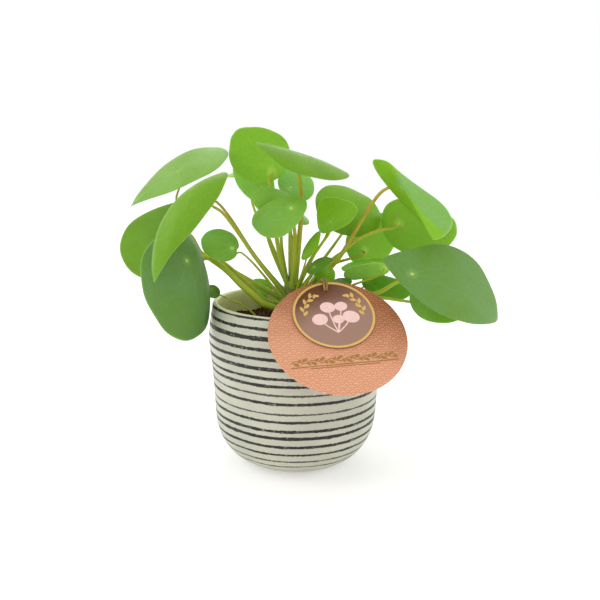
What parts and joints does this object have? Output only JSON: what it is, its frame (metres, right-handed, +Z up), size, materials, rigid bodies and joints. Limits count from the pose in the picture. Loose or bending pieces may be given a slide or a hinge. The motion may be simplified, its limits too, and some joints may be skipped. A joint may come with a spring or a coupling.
{
  "type": "potted chinese money plant",
  "caption": "Round-leaved money plant on long stalks from one short stem, in a cream ceramic pot with thin dark rings, with a round card tag on a twine loop.",
  "frame": {"origin": "centre of the pot's foot, on the surface that the pot stands on", "axes": "+Z up, -Y towards the side that the tag hangs on, +X to the right as seen from that side"},
  "size_m": [0.2884, 0.2012, 0.2563],
  "materials": {
    "pot_ceramic": "satin",
    "soil": "matte",
    "stalk": "satin",
    "leaf_bright": "satin",
    "leaf_green": "satin",
    "leaf_deep": "satin",
    "tag_card": "satin",
    "tag_disc": "satin",
    "tag_twine": "matte"
  },
  "bodies": {
    "root": {"pot": "pot_ceramic", "soil": "soil", "stem_and_stalks": "stalk", "offset_stalk": "stalk", "blade_back_centre": "leaf_green", "blade_back_high": "leaf_bright", "blade_back_inner_right": "leaf_green", "blade_back_left": "leaf_green", "blade_back_right": "leaf_green", "blade_centre_lower": "leaf_green", "blade_centre_rear": "leaf_green", "blade_centre_upper": "leaf_bright", "blade_crown_pale": "leaf_bright", "blade_inner_right_cupped": "leaf_green", "blade_inner_right_rear": "leaf_bright", "blade_left_hanging": "leaf_bright", "blade_left_high": "leaf_bright", "blade_left_low": "leaf_green", "blade_left_rear": "leaf_green", "blade_left_small": "leaf_green", "blade_offset": "leaf_green", "blade_pot_rear": "leaf_green", "blade_right_broad": "leaf_green", "blade_right_folded": "leaf_green", "blade_right_leaning": "leaf_bright", "blade_right_level": "leaf_green", "blade_right_shaded": "leaf_deep", "blade_right_tucked": "leaf_bright", "blade_right_turned": "leaf_bright", "blade_right_under": "leaf_green", "blade_sprout_dark": "leaf_deep", "blade_sprout_flat": "leaf_deep", "blade_sprout_round": "leaf_green", "blade_sprout_slim": "leaf_green", "blade_top_level": "leaf_bright", "blade_top_round": "leaf_bright", "tag_card": "tag_card", "tag_disc": "tag_disc", "tag_twine": "tag_twine"}
  },
  "joints": []
}
